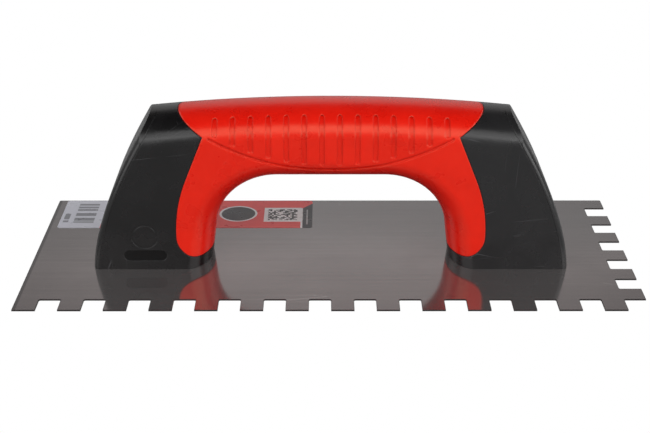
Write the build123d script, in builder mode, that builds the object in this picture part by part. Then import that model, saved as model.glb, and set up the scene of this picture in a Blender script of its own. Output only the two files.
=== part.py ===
from build123d import *
from math import cos, radians, sin, sqrt, tan
import os

# Notched trowel: a thin toothed steel blade screwed to a D-shaped handle.
# The handle is a hard core with a soft grip moulded over it.
#
# Frame: millimetres, +Z up, origin at the centre of the blade's underside.
# +X points to the notched short edge and -Y to the notched long edge.

# ---- blade ----
blade_length = 280.0
blade_width = 120.0
blade_thickness = 0.7
notch_pitch = 20.0
notch_depth = 10.0
tooth_width = 10.25
blade_corner_radius = 0.7
long_edge_notches = 13
short_edge_notches = 5
notch_width = notch_pitch - tooth_width

# ---- screws: countersunk, they cut their own thread in the feet ----
head_radius = 4.0
head_recess = 0.15
crest_radius = 2.0
root_radius = 1.4
screw_reach = 16.0
screw_pitch = 1.6
tip_length = 3.2
thread_steps = [(0.35, root_radius), (0.60, crest_radius), (0.70, crest_radius), (0.95, root_radius)]
drive_slot_length = 4.4
drive_slot_width = 1.0
drive_slot_depth = 1.5
screw_columns = {"inner": 72.0, "outer": 97.0}
screw_rows = {"front": -10.5, "back": 10.5}
dimple_clearance = 0.05

# ---- handle form ----
handle_depth = 40.0
foot_half_span = 110.2
side_bulge_low = (105.9, 22.0)
side_bulge_high = (94.5, 50.0)
side_directions = [(-0.08, 1.0), (-0.58, 1.0)]
top_half_span = 81.9
top_end_height = 72.6
top_mid_height = 76.7
crown_height = 12.0
crown_flat = 0.4
outer_edge_radius = 2.6
opening_half_width = 55.8
opening_lean = 7.0
opening_corner_radius = 29.5
opening_height = 42.8

# ---- split between the core and the grip ----
grip_skin = 3.0
cusp = (57.4, 65.7)
split_top = (70.4, 74.4)
flank_lean = 22.0
flank_bend_height = 45.0
flank_bend_radius = 71.0
lobe_end_radius = 10.5
lobe_end_height = 6.4
seam_width = 0.35
seam_depth = 0.4
lock_radius = 4.0
lock_count = 5
lock_spacing = 19.0
lock_height = 58.5

# ---- lines and texture in the handle's surface ----
groove_depth = 0.7
smile_half_span = 54.6
smile_end_height = 64.8
smile_mid_height = 50.0
smile_width = 1.2
slot_count = 14
slot_pitch = 8.0
slot_width = 2.3
slot_top_margin = 2.6
slot_to_smile = 2.2
rim_inset = 2.9
rim_width = 0.35
rim_depth = 0.2

# ---- inside of the feet ----
leg_wall = 3.2
inner_pocket_start = 62.5
inner_pocket_height = 56.0
outer_pocket_start = 75.0
outer_pocket_height = 60.0
pocket_wall_foot = (foot_half_span - leg_wall, 0)
pocket_wall_middle = (99.6, 30.0)
pocket_wall_top = (86.0, outer_pocket_height)
rib_thickness = 2.0
cross_rib_places = (72.0, 84.5, 97.0)
boss_radius = 4.75
boss_height = 24.0

# ---- emblem on the left foot ----
emblem_x = -85.6
emblem_ring_height = 17.4
emblem_ring_radius = 6.2
emblem_ring_width = 1.0
emblem_bar_height = 7.7
emblem_bar_length = 20.0
emblem_bar_width = 5.4
emblem_relief = 0.3

# ---- label on the blade ----
label_thickness = 0.1
label_left = -135.5
label_right = -9.0
label_front = 26.0
label_back = 59.4
label_corner_radius = 1.5

half_depth = handle_depth / 2
base = blade_thickness
zone_margin = 20.0
HANDLE_FRONT = Plane.XZ.offset(half_depth)
CUT_START = Plane.XZ.offset(-handle_depth)
CUT_LENGTH = 2 * handle_depth

os.makedirs("parts", exist_ok=True)


def finish(part, name):
    """Label a finished piece and write it to its own file."""
    part.label = name
    export_step(part, f"parts/{name}.step")


# ---------------------------------------------------------------- handle form


def side_points(inset=0.0):
    """Points of the handle's right side from the foot to the top corner."""
    points = [
        (foot_half_span, base),
        side_bulge_low,
        side_bulge_high,
        (top_half_span, top_end_height),
    ]
    return [(x - inset, z) for x, z in points]


def form_outline(inset):
    """Front outline of the handle without its opening, drawn in by an inset.

    It runs on above the top, because the crown cuts it off.
    """
    with BuildSketch() as outline:
        with BuildLine():
            side = Spline(side_points(), tangents=side_directions)
            rise = Line(side @ 1, side @ 1 + (side % 1) * crown_height)
            Line(rise @ 1, (0, (rise @ 1).Y))
            Line(side @ 0, (0, base))
            mirror(about=Plane.YZ)
        make_face()
        if inset > 0:
            offset(amount=-inset, kind=Kind.INTERSECTION)
    return outline.sketch


def crown_level(x):
    """Height of the handle's top at a distance from its middle."""
    rise = top_mid_height - top_end_height
    radius = (top_half_span**2 + rise**2) / (2 * rise)
    return top_mid_height - radius + sqrt(radius**2 - x**2)


def crown_outline(inset):
    """Front outline of a block that is wider than the handle and ends in its top line."""
    half_width = foot_half_span + crown_height
    with BuildSketch() as outline:
        with BuildLine():
            Polyline(
                (-half_width, crown_level(half_width) - inset),
                (-half_width, 0),
                (half_width, 0),
                (half_width, crown_level(half_width) - inset),
            )
            ThreePointArc(
                (-half_width, crown_level(half_width) - inset),
                (0, top_mid_height - inset),
                (half_width, crown_level(half_width) - inset),
            )
        make_face()
    return outline.sketch


def opening_outline(inset):
    """Front outline of the finger opening, widened by an inset."""
    lean = radians(opening_lean)
    bend_start_height = opening_height - opening_corner_radius * (1 - sin(lean))
    bend_start_x = opening_half_width - (bend_start_height - base) * tan(lean)
    with BuildSketch() as outline:
        with BuildLine():
            wall = Line((opening_half_width, base), (bend_start_x, bend_start_height))
            bend = JernArc(wall @ 1, wall % 1, opening_corner_radius, 90 - opening_lean)
            Line(bend @ 1, (0, opening_height))
            mirror(about=Plane.YZ)
            Line((-opening_half_width, base), (opening_half_width, base))
        make_face()
        if inset > 0:
            offset(amount=inset, kind=Kind.INTERSECTION)
    return outline.sketch


def handle_form(inset=0.0):
    """The D-shaped form, or the same form drawn in evenly by an inset.

    The crown and the opening have elliptical roundings. They are made round
    on a form that is only as thick as two crowns, which is then stretched
    along Y to its real depth.
    """
    crown = crown_height - inset
    start = Plane.XZ.offset(-crown)
    with BuildPart() as crown_block:
        with BuildSketch(start):
            add(crown_outline(inset))
        extrude(amount=2 * crown)
        top_edges = crown_block.faces().sort_by(Axis.Z)[-1].edges().group_by(Axis.Y)
        fillet(top_edges[0] + top_edges[-1], radius=crown - crown_flat)
    with BuildPart() as form:
        with BuildSketch(start):
            add(form_outline(inset))
        extrude(amount=2 * crown)
        if inset == 0:
            side_edges = form.edges().filter_by(GeomType.BSPLINE)
            fillet(side_edges, radius=outer_edge_radius)
        with BuildSketch(start):
            add(opening_outline(inset))
        extrude(amount=2 * crown, mode=Mode.SUBTRACT)
        rims = form.faces().filter_by(Axis.Y).edges()
        rims = rims.filter_by(lambda edge: abs(edge.center().X) < opening_half_width)
        rims = rims.filter_by(lambda edge: base + inset < edge.center().Z < top_end_height)
        fillet(rims, radius=crown - crown_flat)
        add(crown_block, mode=Mode.INTERSECT)
        scale(by=(1, (half_depth - inset) / crown, 1))
    return form.part


def grip_zone(grow=0.0):
    """Front outline of everything that the soft grip covers."""
    lean = radians(flank_lean)
    bend_x = cusp[0] + (cusp[1] - flank_bend_height) * tan(lean)
    flank_x = bend_x + flank_bend_radius * (1 - cos(lean))
    with BuildSketch() as zone:
        with BuildLine():
            top = Line((0, split_top[1] + zone_margin), (split_top[0], split_top[1] + zone_margin))
            Polyline(top @ 1, split_top, cusp)
            flank = Line(cusp, (bend_x, flank_bend_height))
            bend = JernArc(flank @ 1, flank % 1, flank_bend_radius, -flank_lean)
            drop = Line(bend @ 1, (flank_x, lobe_end_height + lobe_end_radius))
            end = JernArc(drop @ 1, (0, -1), lobe_end_radius, -90)
            Line(end @ 1, (0, lobe_end_height))
            mirror(about=Plane.YZ)
        make_face()
        if grow != 0:
            offset(amount=grow, kind=Kind.INTERSECTION)
    return zone.sketch


def smile_height(x):
    """Height of the curved groove across the front of the grip."""
    rise = smile_end_height - smile_mid_height
    radius = (smile_half_span**2 + rise**2) / (2 * rise)
    return smile_mid_height + radius - sqrt(radius**2 - x**2)


# ---------------------------------------------------------------------- blade

first_notch_x = -blade_length / 2 + tooth_width + notch_width / 2
first_notch_y = -blade_width / 2 + notch_pitch + notch_depth / 2
front_edge = -blade_width / 2
right_edge = blade_length / 2
corner_x = first_notch_x + long_edge_notches * notch_pitch
screw_places = [
    (side * x, y) for side in (-1, 1) for x in screw_columns.values() for y in screw_rows.values()
]
head_seat_radius = head_radius + head_recess
dimple_rise = head_seat_radius - crest_radius - dimple_clearance
dimple_wall = blade_thickness * sqrt(2)
dimple_radius = head_seat_radius + dimple_wall
seat_radius = dimple_radius + dimple_clearance
seat_rise = dimple_rise + 3 * dimple_clearance
UP = (Align.CENTER, Align.CENTER, Align.MIN)

with BuildPart() as blade:
    with BuildSketch() as plan:
        Rectangle(blade_length, blade_width)
        for index in range(long_edge_notches + 1):
            with Locations((first_notch_x + index * notch_pitch, front_edge)):
                Rectangle(notch_width, 2 * notch_depth, mode=Mode.SUBTRACT)
        for index in range(short_edge_notches):
            with Locations((right_edge, first_notch_y + index * notch_pitch)):
                Rectangle(2 * notch_depth, notch_width, mode=Mode.SUBTRACT)
        notch_roots = plan.vertices().filter_by(
            lambda corner: abs(corner.Y - front_edge - notch_depth) < 0.01 and corner.X < corner_x
            or abs(corner.X - right_edge + notch_depth) < 0.01
        )
        back_corners = plan.vertices().group_by(Axis.Y)[-1]
        fillet(notch_roots + back_corners, radius=blade_corner_radius)
    extrude(amount=blade_thickness)
    with Locations(*[(x, y, 0) for x, y in screw_places]):
        Cone(dimple_radius, dimple_radius - dimple_rise, dimple_rise, align=UP)
        Cone(head_seat_radius, head_seat_radius - dimple_rise, dimple_rise, align=UP, mode=Mode.SUBTRACT)
finish(blade.part, "blade")


# --------------------------------------------------------------------- screws


def countersunk_screw(x, y):
    """A cross-slotted countersunk thread-forming screw, head down at z = 0."""
    neck = head_recess + head_radius - root_radius
    with BuildPart() as screw:
        with BuildSketch(Plane(origin=(x, y, 0), x_dir=(1, 0, 0), z_dir=(0, -1, 0))):
            with BuildLine():
                outline = [(0, head_recess), (head_radius, head_recess), (root_radius, neck)]
                height = neck
                while height < screw_reach - tip_length - screw_pitch:
                    for step, radius in thread_steps:
                        outline.append((radius, height + step * screw_pitch))
                    height += screw_pitch
                outline.append((root_radius, screw_reach - tip_length))
                outline.append((0, screw_reach))
                Polyline(*outline, close=True)
            make_face()
        revolve(axis=Axis((x, y, 0), (0, 0, 1)))
        with Locations((x, y, head_recess)):
            Box(drive_slot_length, drive_slot_width, drive_slot_depth, align=UP, mode=Mode.SUBTRACT)
            Box(drive_slot_width, drive_slot_length, drive_slot_depth, align=UP, mode=Mode.SUBTRACT)
    return screw.part


for side_name, side in {"left": -1, "right": 1}.items():
    for column_name, column_x in screw_columns.items():
        for row_name, row_y in screw_rows.items():
            screw = countersunk_screw(side * column_x, row_y)
            finish(screw, f"screw_{side_name}_{column_name}_{row_name}")


# ---------------------------------------------------------------- handle core

form = handle_form()
groove_floor = handle_form(groove_depth)
seam_floor = handle_form(seam_depth)
rim_floor = handle_form(rim_depth)
core_form = handle_form(grip_skin)

with BuildPart() as grip_blank:
    with BuildSketch(CUT_START):
        add(grip_zone())
    extrude(amount=CUT_LENGTH)
    add(form, mode=Mode.INTERSECT)
    add(core_form, mode=Mode.SUBTRACT)

with BuildPart() as locks:
    with BuildSketch(Plane.XZ.offset(-half_depth + grip_skin / 2)):
        with Locations((0, lock_height)):
            with GridLocations(lock_spacing, 1, lock_count, 1):
                Circle(lock_radius)
    extrude(amount=handle_depth - grip_skin)

with BuildPart() as seam:
    with BuildSketch(CUT_START):
        add(grip_zone(seam_width))
        add(grip_zone(), mode=Mode.SUBTRACT)
    extrude(amount=CUT_LENGTH)
    add(seam_floor, mode=Mode.SUBTRACT)

with BuildPart() as rim_lines:
    with BuildSketch(CUT_START):
        with BuildLine():
            line = Spline(side_points(rim_inset), tangents=side_directions)
            mirror(line, about=Plane.YZ)
        trace(line_width=rim_width)
    extrude(amount=CUT_LENGTH)
    add(rim_floor, mode=Mode.SUBTRACT)

with BuildPart() as pocket:
    outer_half_depth = half_depth - leg_wall
    inner_half_depth = half_depth - grip_skin - leg_wall
    with BuildSketch(Plane.XZ.offset(-outer_half_depth)):
        with BuildLine():
            Polyline(
                pocket_wall_top,
                (outer_pocket_start, outer_pocket_height),
                (outer_pocket_start, 0),
                pocket_wall_foot,
            )
            ThreePointArc(pocket_wall_foot, pocket_wall_middle, pocket_wall_top)
        make_face()
    extrude(amount=2 * outer_half_depth)
    with BuildSketch(Plane.XZ.offset(-inner_half_depth)):
        with Locations((inner_pocket_start, 0)):
            Rectangle(
                outer_pocket_start - inner_pocket_start,
                inner_pocket_height,
                align=(Align.MIN, Align.MIN),
            )
    extrude(amount=2 * inner_half_depth)
    with Locations(*[(x, 0, 0) for x in cross_rib_places]):
        Box(rib_thickness, CUT_LENGTH, CUT_LENGTH, align=UP, mode=Mode.SUBTRACT)
    Box(CUT_LENGTH * 4, rib_thickness, CUT_LENGTH * 2, mode=Mode.SUBTRACT)
    with Locations(*[(x, y, 0) for x in screw_columns.values() for y in screw_rows.values()]):
        Cylinder(boss_radius, boss_height, align=UP, mode=Mode.SUBTRACT)
    mirror(about=Plane.YZ)

with BuildPart() as handle_core:
    add(form)
    add(grip_blank, mode=Mode.SUBTRACT)
    add(locks, mode=Mode.SUBTRACT)
    add(seam, mode=Mode.SUBTRACT)
    add(rim_lines, mode=Mode.SUBTRACT)
    add(pocket, mode=Mode.SUBTRACT)
    with Locations(*[(x, y, 0) for x, y in screw_places]):
        Cone(seat_radius, seat_radius - seat_rise, seat_rise, align=UP, mode=Mode.SUBTRACT)
        Cylinder(crest_radius, screw_reach + tip_length / 2, align=UP, mode=Mode.SUBTRACT)
    with BuildSketch(HANDLE_FRONT):
        with Locations((emblem_x, emblem_bar_height)):
            SlotOverall(emblem_bar_length, emblem_bar_width)
    extrude(amount=-emblem_relief, mode=Mode.SUBTRACT)
    with BuildSketch(HANDLE_FRONT):
        with Locations((emblem_x, emblem_ring_height)):
            Circle(emblem_ring_radius)
            Circle(emblem_ring_radius - emblem_ring_width, mode=Mode.SUBTRACT)
    extrude(amount=-emblem_relief, mode=Mode.SUBTRACT)
finish(handle_core.part, "handle_core")


# --------------------------------------------------------------- grip overmould

with BuildPart() as slots:
    with BuildSketch(CUT_START):
        for index in range(slot_count):
            x = (index - (slot_count - 1) / 2) * slot_pitch
            top = crown_level(x) - slot_top_margin
            bottom = smile_height(x) + slot_to_smile
            with Locations((x, (top + bottom) / 2)):
                SlotOverall(top - bottom, slot_width, rotation=90)
    extrude(amount=CUT_LENGTH)
    add(groove_floor, mode=Mode.SUBTRACT)

with BuildPart() as smile:
    with BuildSketch(CUT_START):
        with BuildLine():
            curve = ThreePointArc(
                (-smile_half_span, smile_end_height),
                (0, smile_mid_height),
                (smile_half_span, smile_end_height),
            )
        SlotArc(curve, smile_width)
    extrude(amount=CUT_LENGTH)
    add(groove_floor, mode=Mode.SUBTRACT)

with BuildPart() as grip_overmould:
    add(grip_blank)
    add(locks)
    add(slots, mode=Mode.SUBTRACT)
    add(smile, mode=Mode.SUBTRACT)
finish(grip_overmould.part, "grip_overmould")


# ---------------------------------------------------------------------- label

with BuildPart() as blade_label:
    with BuildSketch(Plane.XY.offset(blade_thickness)):
        with Locations(((label_left + label_right) / 2, (label_front + label_back) / 2)):
            RectangleRounded(
                label_right - label_left,
                label_back - label_front,
                label_corner_radius,
            )
    extrude(amount=label_thickness)
finish(blade_label.part, "blade_label")
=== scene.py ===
from math import cos, radians, sin

import bpy
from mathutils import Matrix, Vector


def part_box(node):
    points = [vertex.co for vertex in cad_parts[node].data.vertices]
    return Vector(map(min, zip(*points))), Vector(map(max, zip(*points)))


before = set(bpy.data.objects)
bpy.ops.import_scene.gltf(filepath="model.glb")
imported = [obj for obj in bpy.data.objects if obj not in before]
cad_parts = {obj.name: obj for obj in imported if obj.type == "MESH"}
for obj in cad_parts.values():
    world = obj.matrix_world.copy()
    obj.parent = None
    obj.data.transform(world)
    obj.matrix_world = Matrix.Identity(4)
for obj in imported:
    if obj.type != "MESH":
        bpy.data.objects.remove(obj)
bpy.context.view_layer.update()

MM = 0.001


# ------------------------------------------------------------------- camera

CAMERA_PLACE = Vector((-3.05, -581.3, 279.6)) * MM
CAMERA_PITCH = 24.185
CAMERA_YAW = -0.04
CAMERA_LENS = 74.66
SENSOR_WIDTH = 36.0
NEAREST = 0.01
FARTHEST = 50.0


def make_camera():
    """A long lens in front of and above the trowel, looking along +Y and down."""
    data = bpy.data.cameras.new("camera")
    data.lens = CAMERA_LENS
    data.sensor_width = SENSOR_WIDTH
    data.clip_start = NEAREST
    data.clip_end = FARTHEST
    camera = bpy.data.objects.new("camera", data)
    camera.location = CAMERA_PLACE
    camera.rotation_euler = (radians(90 - CAMERA_PITCH), 0, radians(CAMERA_YAW))
    bpy.context.scene.collection.objects.link(camera)
    bpy.context.scene.camera = camera


# --------------------------------------------------------------- shader tools

EDGE_SAMPLES = 12
NOISE_MIDDLE = (0.3, 0.7)


class Nodes:
    """Short calls for building one node tree. Places and lengths are in millimetres."""

    def __init__(self, tree):
        self.tree = tree
        self.tree.nodes.clear()

    def add(self, kind, **settings):
        node = self.tree.nodes.new(kind)
        for key, value in settings.items():
            setattr(node, key, value)
        return node

    def link(self, source, target):
        self.tree.links.new(source, target)

    def put(self, value, socket):
        """Link a socket, or set a number or colour on the socket itself."""
        if isinstance(value, bpy.types.NodeSocket):
            self.link(value, socket)
        elif isinstance(value, tuple) and len(value) == 3 and socket.type == "RGBA":
            socket.default_value = (*value, 1.0)
        else:
            socket.default_value = value

    def math(self, operation, a, b=0.0, c=0.0):
        node = self.add("ShaderNodeMath", operation=operation)
        for value, socket in zip((a, b, c), node.inputs):
            self.put(value, socket)
        return node.outputs[0]

    def mix(self, factor, a, b):
        """Colour a where the factor is 0, and colour b where it is 1.

        The node has sockets for numbers, vectors and colours. These are the colours.
        """
        node = self.add("ShaderNodeMix", data_type="RGBA")
        self.put(factor, node.inputs["Factor"])
        self.put(a, node.inputs[6])
        self.put(b, node.inputs[7])
        return node.outputs[2]

    def cover(self, mask, strength, color, below):
        """Lay a colour over the one below, where a mask says and at a given strength."""
        return self.mix(self.math("MULTIPLY", mask, strength), below, color)

    def ramp(self, value, low, high, to_low=0.0, to_high=1.0):
        """Carry a value from one range to another, smoothly and clamped."""
        node = self.add("ShaderNodeMapRange", interpolation_type="SMOOTHSTEP")
        self.put(value, node.inputs["Value"])
        self.put(low, node.inputs["From Min"])
        self.put(high, node.inputs["From Max"])
        self.put(to_low, node.inputs["To Min"])
        self.put(to_high, node.inputs["To Max"])
        return node.outputs["Result"]

    def spread(self, noise, low=0.0, high=1.0):
        """Stretch the middle of a noise, where most of its values lie, over a range."""
        return self.ramp(noise, *NOISE_MIDDLE, low, high)

    def all_of(self, *masks):
        product = masks[0]
        for mask in masks[1:]:
            product = self.math("MULTIPLY", product, mask)
        return product

    def any_of(self, *masks):
        largest = masks[0]
        for mask in masks[1:]:
            largest = self.math("MAXIMUM", largest, mask)
        return largest

    def inside(self, value, low, high):
        """1 where the value lies between two limits, else 0."""
        return self.math("COMPARE", value, (low + high) / 2, (high - low) / 2)

    def box(self, x, y, x_limits, y_limits):
        return self.all_of(self.inside(x, *x_limits), self.inside(y, *y_limits))

    def split(self, vector):
        node = self.add("ShaderNodeSeparateXYZ")
        self.link(vector, node.inputs[0])
        return node.outputs[0], node.outputs[1], node.outputs[2]

    def place(self, scale=(1, 1, 1), turn=(0, 0, 0)):
        """The point on the object, stretched by a scale and turned by angles about the axes."""
        coordinates = self.add("ShaderNodeTexCoord").outputs["Object"]
        mapping = self.add("ShaderNodeMapping")
        self.link(coordinates, mapping.inputs["Vector"])
        mapping.inputs["Scale"].default_value = [factor / MM for factor in scale]
        mapping.inputs["Rotation"].default_value = [radians(angle) for angle in turn]
        return mapping.outputs["Vector"]

    def noise(self, vector, scale, detail=2.0, rough=0.5):
        node = self.add("ShaderNodeTexNoise")
        self.link(vector, node.inputs["Vector"])
        node.inputs["Scale"].default_value = scale
        node.inputs["Detail"].default_value = detail
        node.inputs["Roughness"].default_value = rough
        return node.outputs["Fac"]

    def cells(self, vector, scale, feature="F1"):
        node = self.add("ShaderNodeTexVoronoi", feature=feature)
        self.link(vector, node.inputs["Vector"])
        node.inputs["Scale"].default_value = scale
        return node

    def specks(self, spacing, radius, share):
        """Small round specks: one in a share of the cells of a loose grid."""
        cells = self.cells(self.place(), 1 / spacing)
        dots = self.ramp(cells.outputs["Distance"], radius / spacing, 0.4 * radius / spacing)
        chosen = self.math("GREATER_THAN", self.split(cells.outputs["Color"])[0], 1 - share)
        return self.all_of(dots, chosen)

    def scratches(self, stretch, turn, spacing, width, share):
        """Fine broken lines along the direction in which the cells are stretched."""
        vector = self.place(stretch, turn)
        cells = self.cells(vector, 1 / spacing, "DISTANCE_TO_EDGE")
        lines = self.ramp(cells.outputs["Distance"], width / spacing, 0.0)
        parts = self.ramp(self.noise(vector, 0.7 / spacing, 3.0), 1 - share, 1.1 - share)
        return self.all_of(lines, parts)

    def soft_edges(self, radius):
        """The surface's normal, with sharp edges rounded to a radius."""
        node = self.add("ShaderNodeBevel", samples=EDGE_SAMPLES)
        node.inputs["Radius"].default_value = radius * MM
        return node.outputs["Normal"]

    def bump(self, height, distance, after=None):
        """Raise the surface by a height map, on top of another normal where one is given."""
        node = self.add("ShaderNodeBump")
        node.inputs["Distance"].default_value = distance * MM
        self.link(height, node.inputs["Height"])
        if after is not None:
            self.link(after, node.inputs["Normal"])
        return node.outputs["Normal"]


class Material(Nodes):
    """A node tree that ends in one Principled shader."""

    SOCKETS = {
        "color": "Base Color",
        "metal": "Metallic",
        "rough": "Roughness",
        "specular": "Specular IOR Level",
        "specular_tint": "Specular Tint",
        "normal": "Normal",
    }

    def __init__(self, name):
        self.material = bpy.data.materials.new(name)
        self.material.use_nodes = True
        super().__init__(self.material.node_tree)
        self.shader = self.add("ShaderNodeBsdfPrincipled")
        self.output = self.add("ShaderNodeOutputMaterial")
        self.link(self.shader.outputs["BSDF"], self.output.inputs["Surface"])

    def set(self, **values):
        for key, value in values.items():
            self.put(value, self.shader.inputs[self.SOCKETS[key]])


# ---------------------------------------------------------------------- blade

STEEL_DARK = (0.262, 0.245, 0.244)
STEEL_LIGHT = (0.318, 0.298, 0.297)
STEEL_LEFT_SHADE = (0.17, 0.165, 0.165)
# painted shade along the rounded edges of the blade
STEEL_EDGE_SHADE = (0.11, 0.10, 0.10)
STEEL_SHEARED = (0.07, 0.06, 0.06)
STEEL_SCRATCH = (0.85, 0.84, 0.82)
STEEL_SPECK = (0.9, 0.9, 0.88)
BLADE_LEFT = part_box("blade")[0][0] / MM
# a band of painted shade along the left end of the blade
LEFT_SHADE_WIDTH = 1.2
LEFT_SHADE_FADE = 0.7
EDGE_SHADE_RADIUS = 0.55

# agreement of the rounded and the flat normal where the painted shade of a rounded edge starts
# and is full
EDGE_SHADE_FADE = (0.998, 0.93)

# upward share of the flat normal where a sheared edge starts and is full
SHEARED_FADE = (0.8, 0.3)


def blade_steel():
    """Cold-rolled steel: grain, smudges, dark cut edges; painted shade along the left end and
    rounded edges.
    """
    m = Material("blade_steel")
    coarse = m.noise(m.place(scale=(0.006, 1, 1)), 1.1, detail=4.0, rough=0.6)
    fine = m.noise(m.place(scale=(0.03, 1, 1)), 6.0, rough=0.6)
    grain = m.mix(0.5, coarse, fine)
    smudge = m.noise(m.place(), 0.018, detail=3.0, rough=0.55)
    color = m.mix(m.spread(grain), STEEL_DARK, STEEL_LIGHT)

    x = m.split(m.place())[0]
    # painted shade: the steel is darker in a band along the left end, where the rolled-over edge
    # reflects less light
    left_shade_end = BLADE_LEFT + LEFT_SHADE_WIDTH
    color = m.mix(m.ramp(x, left_shade_end + LEFT_SHADE_FADE, left_shade_end), color, STEEL_LEFT_SHADE)
    scratches = m.scratches(
        stretch=(0.1, 1, 1), turn=(0, 0, 8), spacing=9.0, width=0.06, share=0.42
    )
    color = m.cover(scratches, 0.35, STEEL_SCRATCH, color)
    color = m.mix(m.specks(spacing=5.0, radius=0.28, share=0.03), color, STEEL_SPECK)

    # an edge is where the rounded normal leaves the flat one; the steel is darkened there as
    # painted shade
    flat_normal = m.add("ShaderNodeNewGeometry").outputs["Normal"]
    agreement = m.add("ShaderNodeVectorMath", operation="DOT_PRODUCT")
    m.link(flat_normal, agreement.inputs[0])
    m.link(m.soft_edges(EDGE_SHADE_RADIUS), agreement.inputs[1])
    color = m.mix(m.ramp(agreement.outputs["Value"], *EDGE_SHADE_FADE), color, STEEL_EDGE_SHADE)
    upright = m.ramp(m.math("ABSOLUTE", m.split(flat_normal)[2]), *SHEARED_FADE)
    m.set(
        color=m.mix(upright, color, STEEL_SHEARED),
        metal=0.8,
        rough=m.spread(smudge, 0.08, 0.13),
        normal=m.bump(grain, 0.002, after=m.soft_edges(0.25)),
    )
    return m.material


# --------------------------------------------------------------------- handle

BLACK_DEEP = (0.0050, 0.0047, 0.0049)
BLACK_WORN = (0.0075, 0.0071, 0.0074)
BLACK_POLISHED = (0.0015, 0.0015, 0.0015)
BLACK_SCUFF = (0.16, 0.16, 0.17)
PALE_GREY = (0.22, 0.22, 0.23)
POLISHED_ROUGH = (0.12, 0.12, 0.12)

# the black turns slightly paler towards the right leg, up to this share of pale grey
RIGHT_PALING = 0.04
RIGHT_PALING_FULL = 60.0

# the recessed bar on the front of the left foot, polished from half its depth
HANDLE_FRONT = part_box("handle_core")[0][1] / MM
BAR_X = (-95.6, -75.6)
BAR_Z = (5.0, 10.4)
BAR_DEPTH = 0.3


def black_plastic():
    """Glass-filled polypropylene: fine satin texture, dust, scuffs and a polished bar."""
    m = Material("black_plastic")
    grit = m.noise(m.place(), 2.6, rough=0.6)
    worn = m.noise(m.place(), 0.05, detail=3.0, rough=0.6)
    x, y, z = m.split(m.place())
    recessed = m.ramp(y, HANDLE_FRONT + BAR_DEPTH / 2, HANDLE_FRONT + BAR_DEPTH)
    front_half = m.ramp(y, 0.0, -1.0)
    bar = m.all_of(m.box(x, z, BAR_X, BAR_Z), recessed, front_half)

    color = m.mix(m.ramp(worn, 0.3, 0.75), BLACK_DEEP, BLACK_WORN)
    scuffs = m.any_of(
        m.scratches(stretch=(0.12, 1, 1), turn=(0, 6, 0), spacing=7.0, width=0.10, share=0.44),
        m.scratches(stretch=(1, 1, 0.2), turn=(0, 24, 0), spacing=8.0, width=0.08, share=0.42),
    )
    color = m.cover(scuffs, 0.35, BLACK_SCUFF, color)
    grains = m.any_of(
        m.specks(spacing=6.0, radius=0.25, share=0.10),
        m.specks(spacing=2.7, radius=0.16, share=0.06),
    )
    color = m.cover(grains, 0.50, PALE_GREY, color)
    # slightly paler towards the right, full at the given distance in x
    paling = m.ramp(x, 0.0, RIGHT_PALING_FULL, 0.0, RIGHT_PALING)
    color = m.mix(paling, color, PALE_GREY)
    m.set(
        color=m.mix(bar, color, BLACK_POLISHED),
        rough=m.mix(bar, m.spread(worn, 0.22, 0.30), POLISHED_ROUGH),
        specular=0.62,
        normal=m.bump(grit, 0.012, after=m.soft_edges(0.25)),
    )
    return m.material


RED_DEEP = (0.77, 0.008, 0.003)
RED_FADED = (0.85, 0.011, 0.004)
RED_SCUFF = (0.95, 0.30, 0.25)
RED_DUST = (1.0, 0.60, 0.55)
RED_GLOSS = (1.0, 0.72, 0.45)


def red_rubber():
    """Satin elastomer with a fine skin, slight fading and a little pale dust."""
    m = Material("red_rubber")
    grit = m.noise(m.place(), 2.2, rough=0.6)
    worn = m.noise(m.place(), 0.06, detail=3.0, rough=0.6)
    color = m.mix(m.spread(worn), RED_DEEP, RED_FADED)
    scuffs = m.scratches(
        stretch=(1, 1, 0.25), turn=(0, 12, 0), spacing=7.0, width=0.10, share=0.36
    )
    color = m.cover(scuffs, 0.08, RED_SCUFF, color)
    grains = m.any_of(
        m.specks(spacing=5.5, radius=0.18, share=0.10),
        m.specks(spacing=2.3, radius=0.11, share=0.05),
    )
    m.set(
        color=m.cover(grains, 0.20, RED_DUST, color),
        rough=m.spread(worn, 0.26, 0.32),
        specular=0.72,
        specular_tint=RED_GLOSS,
        normal=m.bump(grit, 0.004, after=m.soft_edges(0.9)),
    )
    return m.material


# ---------------------------------------------------------------------- label

PRINT_RED = (0.86, 0.11, 0.11)
PRINT_RED_WORN = (0.96, 0.14, 0.135)
PRINT_WHITE = (0.95, 0.95, 0.95)
PRINT_LILAC = (0.66, 0.66, 0.73)
PRINT_INK = (0.095, 0.098, 0.102)

# the pale left end with its bars
PALE_END = (-140.0, -114.4)
BAR_LENGTH = (-128.6, -118.4)
BARS = ((32.0, 33.6), (34.4, 38.0), (40.2, 43.8), (46.6, 48.8), (49.8, 51.9), (53.3, 55.3))
BLOCK_LENGTH = (-133.9, -131.2)
BLOCKS = ((32.6, 34.8), (36.2, 43.0))

# the white stripe, the disc and the framed cells on the red field
STRIPE = (-62.0, -57.5)
DISC_PLACE = (-46.5, 43.0)
DISC_RADIUS = 9.6
DISC_RIM = 1.1
FRAME_X = (-33.4, -14.6)
FRAME_Y = (33.2, 50.4)
FRAME_MARGIN = 2.0
CELL = 0.92
DARK_SHARE = 0.55

# the dark right end, with a slanted back corner, a white divider and one fine line
DIVIDER = (-14.9, -13.9)
DIVIDER_TOP = 50.0
DARK_END = (-13.9, 0.0)
SLANT = 1.2
SLANT_RISE = 66.5
FINE_LINE_X = (-12.0, -11.3)
FINE_LINE_Y = (30.0, 48.0)


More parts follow.
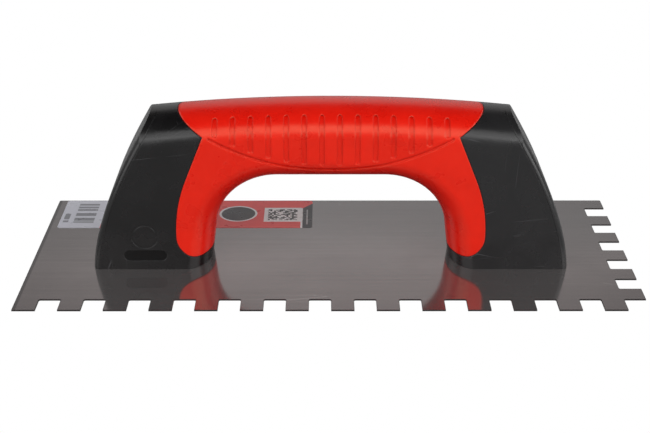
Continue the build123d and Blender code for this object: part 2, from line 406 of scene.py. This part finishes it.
def label_film():
    """A plain printed film: pale, red and dark fields with bars, a disc and random cells."""
    m = Material("label_film")
    x, y, _ = m.split(m.place())
    worn = m.noise(m.place(), 0.12, detail=3.0, rough=0.6)
    red = m.mix(m.spread(worn), PRINT_RED, PRINT_RED_WORN)
    color = m.mix(m.inside(x, *PALE_END), red, PRINT_LILAC)
    bars = [m.box(x, y, BAR_LENGTH, bar) for bar in BARS]
    blocks = [m.box(x, y, BLOCK_LENGTH, block) for block in BLOCKS]
    color = m.cover(m.any_of(*bars, *blocks), 0.7, PRINT_INK, color)

    color = m.mix(m.inside(x, *STRIPE), color, PRINT_WHITE)
    across = m.math("SUBTRACT", x, DISC_PLACE[0])
    along = m.math("SUBTRACT", y, DISC_PLACE[1])
    squares = m.math("ADD", m.math("POWER", across, 2.0), m.math("POWER", along, 2.0))
    distance = m.math("SQRT", squares)
    color = m.mix(m.math("LESS_THAN", distance, DISC_RADIUS), color, PRINT_WHITE)
    color = m.mix(m.math("LESS_THAN", distance, DISC_RADIUS - DISC_RIM), color, PRINT_INK)

    inner_x = (FRAME_X[0] + FRAME_MARGIN, FRAME_X[1] - FRAME_MARGIN)
    inner_y = (FRAME_Y[0] + FRAME_MARGIN, FRAME_Y[1] - FRAME_MARGIN)
    cell_corner = m.add("ShaderNodeVectorMath", operation="FLOOR")
    m.link(m.place(scale=(1 / CELL, 1 / CELL, 0)), cell_corner.inputs[0])
    random = m.add("ShaderNodeTexWhiteNoise")
    m.link(cell_corner.outputs[0], random.inputs["Vector"])
    dark_cells = m.math("GREATER_THAN", random.outputs["Value"], 1 - DARK_SHARE)
    color = m.mix(m.box(x, y, FRAME_X, FRAME_Y), color, PRINT_WHITE)
    color = m.mix(m.all_of(m.box(x, y, inner_x, inner_y), dark_cells), color, PRINT_INK)

    color = m.mix(m.box(x, y, DIVIDER, (0.0, DIVIDER_TOP)), color, PRINT_WHITE)
    rise = m.math("SUBTRACT", y, m.math("MULTIPLY", x, SLANT))
    below_slant = m.math("LESS_THAN", rise, SLANT_RISE)
    color = m.mix(m.all_of(m.inside(x, *DARK_END), below_slant), color, PRINT_INK)
    color = m.cover(m.box(x, y, FINE_LINE_X, FINE_LINE_Y), 0.5, PRINT_WHITE, color)
    m.set(
        color=color,
        rough=m.spread(worn, 0.26, 0.34),
        specular=0.5,
        normal=m.bump(worn, 0.02),
    )
    return m.material


# --------------------------------------------------------------------- screws

ZINC_BLUE = (0.52, 0.53, 0.55)
ZINC_PALE = (0.68, 0.68, 0.66)


def zinc_steel():
    """Bright zinc plate, a little mottled."""
    m = Material("zinc_steel")
    mottle = m.noise(m.place(), 0.8, detail=3.0, rough=0.6)
    m.set(
        color=m.mix(m.spread(mottle), ZINC_BLUE, ZINC_PALE),
        metal=1.0,
        rough=m.spread(mottle, 0.26, 0.38),
        normal=m.bump(mottle, 0.01, after=m.soft_edges(0.1)),
    )
    return m.material


# -------------------------------------------------------------- floor, light

WHITE = (1.0, 1.0, 1.0)
WARM = (1.0, 0.93, 0.92)
FLOOR_SIZE = 6.0
FLOOR_LEVEL = -0.4 * MM
FLOOR_GREY = (0.42, 0.42, 0.42)
LIGHT_AIM = Vector((0.0, 0.0, 40.0)) * MM

# angle from the front horizon over the top to the back, brightness there, and tint
SKY = (
    (0.0, 0.20, WHITE),
    (24.0, 0.40, WHITE),
    (38.0, 1.90, WHITE),
    (63.0, 2.25, WHITE),
    (73.0, 0.04, WHITE),
    (138.0, 0.02, WHITE),
    (148.0, 0.17, WARM),
    (151.5, 0.48, WARM),
    (154.0, 0.76, WARM),
    (154.9, 0.61, WHITE),
    (157.5, 0.48, WHITE),
    (180.0, 0.60, WHITE),
)
SKY_HALF_WIDTH = 0.5
SKY_END_LEVEL = 0.2

# an area light's energy for a radiance of 1 over a unit of area
ENERGY_PER_RADIANCE = 4

# name, azimuth, elevation, distance, size, radiance; lengths in metres
SOFT_BOXES = (
    ("box_left", -52, 10, 1.9, 2.7, 1.22),
    ("box_right", 56, 10, 1.9, 2.7, 1.65),
    ("box_back_left", -118, 26, 1.8, 1.2, 0.7),
    ("box_back_right", 118, 26, 1.8, 1.2, 0.7),
)


def seen_and_lit(nodes, lit, seen, surface):
    """Use one shader for rays from the camera and another for all other rays."""
    choice = nodes.add("ShaderNodeMixShader")
    nodes.link(nodes.add("ShaderNodeLightPath").outputs["Is Camera Ray"], choice.inputs[0])
    nodes.link(lit.outputs[0], choice.inputs[1])
    nodes.link(seen.outputs[0], choice.inputs[2])
    nodes.link(choice.outputs[0], surface)


def make_floor():
    """A plain floor that lights the trowel as grey and is seen as white."""
    bpy.ops.mesh.primitive_plane_add(size=FLOOR_SIZE, location=(0, 0, FLOOR_LEVEL))
    floor = bpy.context.object
    floor.name = "floor"
    m = Material("floor_white")
    m.set(color=FLOOR_GREY, rough=0.9, specular=0.0)
    seen_and_lit(m, m.shader, m.add("ShaderNodeEmission"), m.output.inputs["Surface"])
    floor.data.materials.append(m.material)


def make_world():
    """A studio whose brightness depends on the angle about the trowel's long axis."""
    world = bpy.data.worlds.new("studio")
    bpy.context.scene.world = world
    world.use_nodes = True
    w = Nodes(world.node_tree)
    x, y, z = w.split(w.add("ShaderNodeTexCoord").outputs["Generated"])
    angle = w.math("ARCTAN2", z, w.math("MULTIPLY", y, -1.0))
    colors = w.add("ShaderNodeValToRGB")
    w.link(w.math("DIVIDE", angle, radians(180)), colors.inputs["Fac"])
    stops = colors.color_ramp.elements
    for degrees, _, _ in SKY[1:-1]:
        stops.new(degrees / 180)
    for stop, (degrees, level, tint) in zip(stops, SKY):
        stop.position = degrees / 180
        stop.color = (*[level * share for share in tint], 1.0)
    studio = w.add("ShaderNodeBackground")
    w.link(colors.outputs["Color"], studio.inputs["Color"])
    sideways = w.math("ABSOLUTE", x)
    w.link(w.ramp(sideways, 0.0, SKY_HALF_WIDTH, 1.0, SKY_END_LEVEL), studio.inputs["Strength"])
    plain = w.add("ShaderNodeBackground")
    w.put(WHITE, plain.inputs["Color"])
    output = w.add("ShaderNodeOutputWorld")
    seen_and_lit(w, studio, plain, output.inputs["Surface"])


def soft_box(name, azimuth, elevation, distance, size, radiance):
    """A square soft light. Azimuth 0 is in front of the trowel and 90 is on its right."""
    data = bpy.data.lights.new(name, "AREA")
    data.size = size
    data.energy = ENERGY_PER_RADIANCE * radiance * size**2
    light = bpy.data.objects.new(name, data)
    level = cos(radians(elevation))
    toward = Vector((
        sin(radians(azimuth)) * level,
        -cos(radians(azimuth)) * level,
        sin(radians(elevation)),
    ))
    light.location = LIGHT_AIM + distance * toward
    light.rotation_euler = toward.to_track_quat("Z", "Y").to_euler()
    bpy.context.scene.collection.objects.link(light)


# ---------------------------------------------------------------------- scene


def dress(node, material):
    """Give a CAD node its finished material."""
    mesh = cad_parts[node].data
    mesh.materials.clear()
    mesh.materials.append(material)


make_camera()
dress("blade", blade_steel())
dress("handle_core", black_plastic())
dress("grip_overmould", red_rubber())
dress("blade_label", label_film())
zinc = zinc_steel()
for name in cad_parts:
    if name.startswith("screw_"):
        dress(name, zinc)

make_floor()
make_world()
for box in SOFT_BOXES:
    soft_box(*box)
bpy.context.scene.view_settings.view_transform = "Standard"
